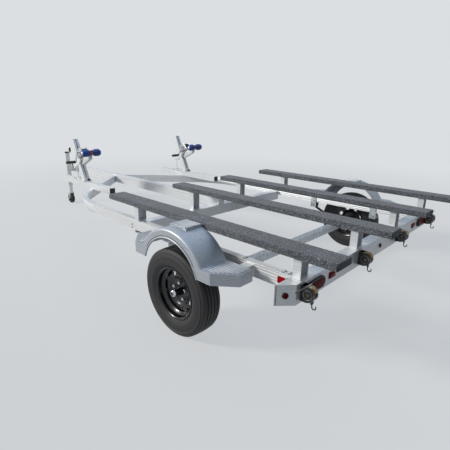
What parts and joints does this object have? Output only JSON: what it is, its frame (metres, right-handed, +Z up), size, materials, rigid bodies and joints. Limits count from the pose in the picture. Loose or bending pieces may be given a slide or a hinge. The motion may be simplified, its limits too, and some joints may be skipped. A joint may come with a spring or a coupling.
{
  "type": "boat trailer",
  "caption": "White aluminium boat trailer for two personal watercraft, with four carpeted bunks, twin winch stands, leaf-sprung axle, silver fenders and a swing-up jack.",
  "frame": {"origin": "On the ground, at the middle of the bounding box", "axes": "X to the right, Y forward to the coupler, Z up"},
  "size_m": [2.584, 5.32, 1.0903],
  "materials": {
    "aluminium": "satin",
    "carpet": "matte",
    "blue_rubber": "satin",
    "zinc_steel": "satin",
    "galvanised_steel": "matte",
    "black_steel": "gloss",
    "chrome": "gloss",
    "tyre_rubber": "matte",
    "red_lens": "gloss",
    "amber_lens": "gloss",
    "black_rubber": "matte"
  },
  "bodies": {
    "frame": {"rail_left": "aluminium", "rail_right": "aluminium", "spine": "aluminium", "tongue": "aluminium", "front_crossbeam": "aluminium", "rear_beam": "aluminium", "bunk_1": "carpet", "bunk_2": "carpet", "bunk_3": "carpet", "bunk_4": "carpet", "bunk_brackets_front": "aluminium", "bunk_brackets_rear": "aluminium", "winch_tube_left": "aluminium", "winch_tube_right": "aluminium", "winch_post_left": "aluminium", "winch_post_right": "aluminium", "bow_arms": "aluminium", "bow_rollers": "blue_rubber", "winches": "zinc_steel", "axle": "galvanised_steel", "axle_clamps": "galvanised_steel", "leaf_springs": "black_steel", "spring_hangers": "galvanised_steel", "fender_left": "aluminium", "fender_right": "aluminium", "fender_brackets": "aluminium", "lamp_lenses": "red_lens", "lamp_grommets": "black_rubber", "amber_markers": "amber_lens", "reflectors": "red_lens", "tie_downs": "black_steel", "coupler": "zinc_steel", "jack_bracket": "zinc_steel"},
    "wheel_left": {"hub_left": "chrome", "rim_left": "black_steel", "tyre_left": "tyre_rubber"},
    "wheel_right": {"hub_right": "chrome", "rim_right": "black_steel", "tyre_right": "tyre_rubber"},
    "winch_crank_left": {"winch_crank_left": "zinc_steel"},
    "winch_crank_right": {"winch_crank_right": "zinc_steel"},
    "jack_tube": {"jack_tube": "zinc_steel"},
    "jack_leg": {"jack_leg": "zinc_steel"},
    "jack_fork": {"jack_fork": "zinc_steel"},
    "jack_wheel": {"jack_wheel": "tyre_rubber"}
  },
  "joints": [
    {"name": "wheel_left_spin", "type": "hinge", "parent": "frame", "child": "wheel_left", "pos_m": [-1.196, -1.67, 0.296], "axis": [1, 0, 0], "continuous": true},
    {"name": "wheel_right_spin", "type": "hinge", "parent": "frame", "child": "wheel_right", "pos_m": [1.196, -1.67, 0.296], "axis": [1, 0, 0], "continuous": true},
    {"name": "winch_crank_left_turn", "type": "hinge", "parent": "frame", "child": "winch_crank_left", "pos_m": [-0.7335, 0.67213, 0.95716], "axis": [1, 0, 0], "continuous": true},
    {"name": "winch_crank_right_turn", "type": "hinge", "parent": "frame", "child": "winch_crank_right", "pos_m": [0.5885, 0.47213, 0.95716], "axis": [1, 0, 0], "continuous": true},
    {"name": "jack_swing", "type": "hinge", "parent": "frame", "child": "jack_tube", "pos_m": [-0.0653, 2.29, 0.532], "axis": [-1, 0, 0], "range_deg": [0, 90]},
    {"name": "jack_extend", "type": "slide", "parent": "jack_tube", "child": "jack_leg", "axis": [0, 0, -1], "range_m": [-0.1, 0.18]},
    {"name": "jack_caster", "type": "hinge", "parent": "jack_leg", "child": "jack_fork", "pos_m": [-0.153, 2.29, 0.16], "axis": [0, 0, 1], "continuous": true},
    {"name": "jack_wheel_spin", "type": "hinge", "parent": "jack_fork", "child": "jack_wheel", "pos_m": [-0.153, 2.314, 0.076], "axis": [1, 0, 0], "continuous": true}
  ]
}
